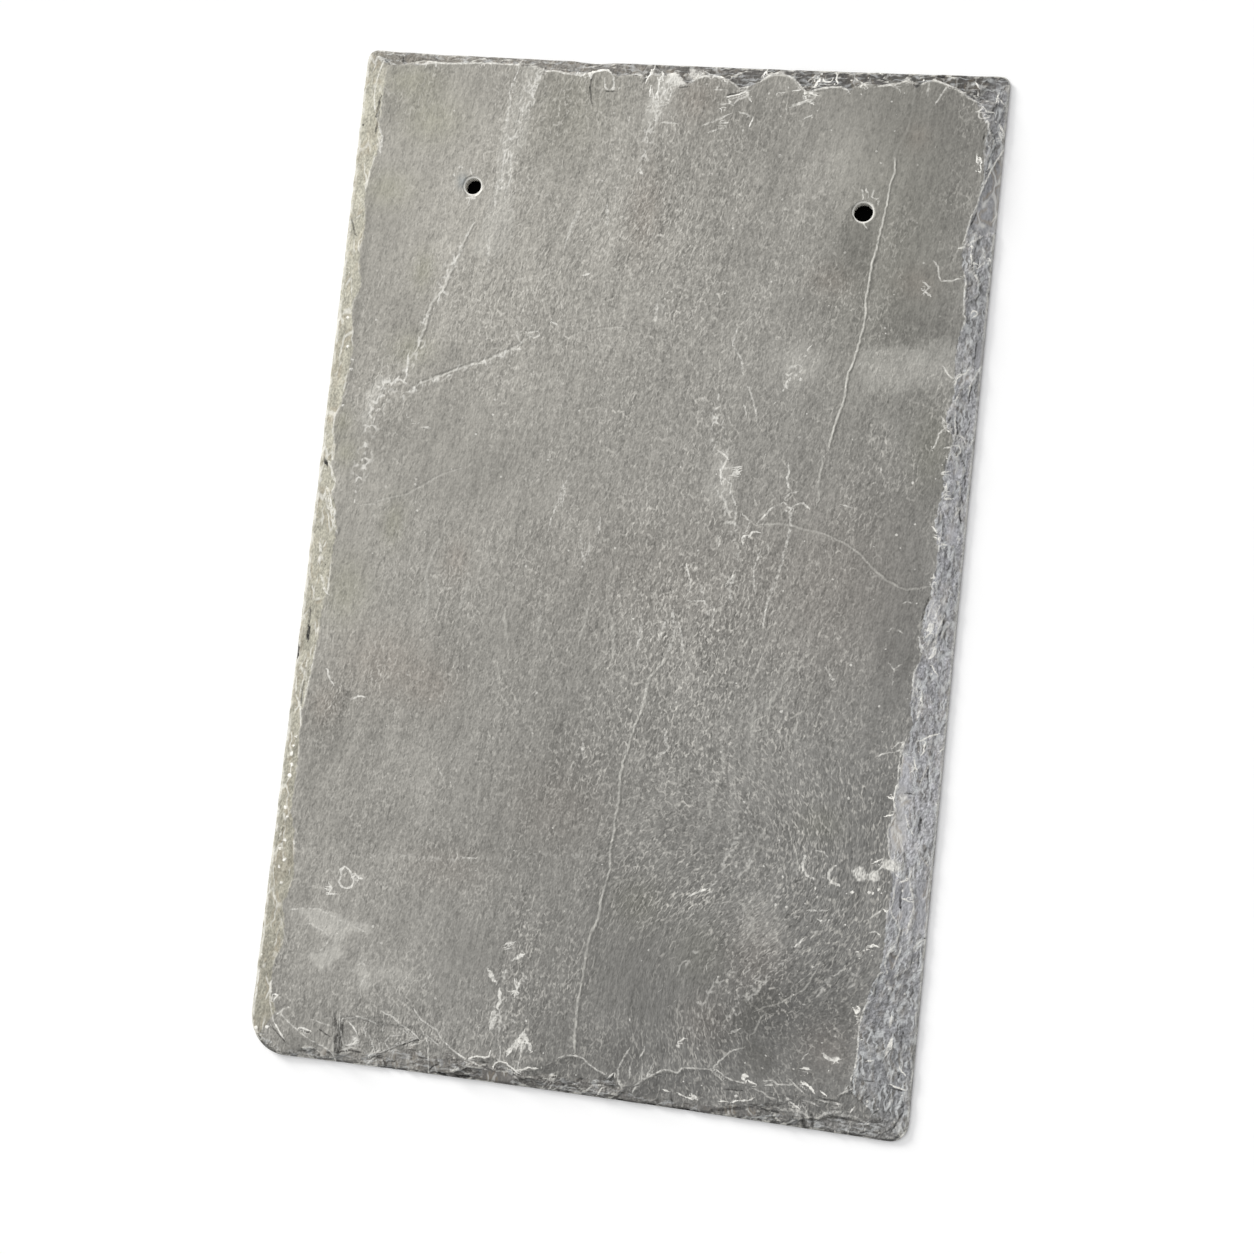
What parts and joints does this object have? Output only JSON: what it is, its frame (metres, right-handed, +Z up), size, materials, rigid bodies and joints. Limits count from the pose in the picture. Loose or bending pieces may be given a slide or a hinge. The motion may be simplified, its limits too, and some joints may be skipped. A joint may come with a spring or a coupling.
{
  "type": "slate roof tile",
  "caption": "Rectangular riven natural roof slate with rough dressed edges bevelled on the weather face, rounded corners and punched nail holes near the head.",
  "frame": {"origin": "centre of the tile's outline on its back face, which lies on the floor", "axes": "+Y from the tail to the nailed head, +X to the right as seen from above with the head away, +Z up out of the weather face"},
  "size_m": [0.255, 0.4, 0.005],
  "materials": {
    "slate_stone": "riven matt, pale grey with a warm cast, dusty veins and rough dressed edges"
  },
  "bodies": {
    "root": {"slate": "slate_stone"}
  },
  "joints": []
}
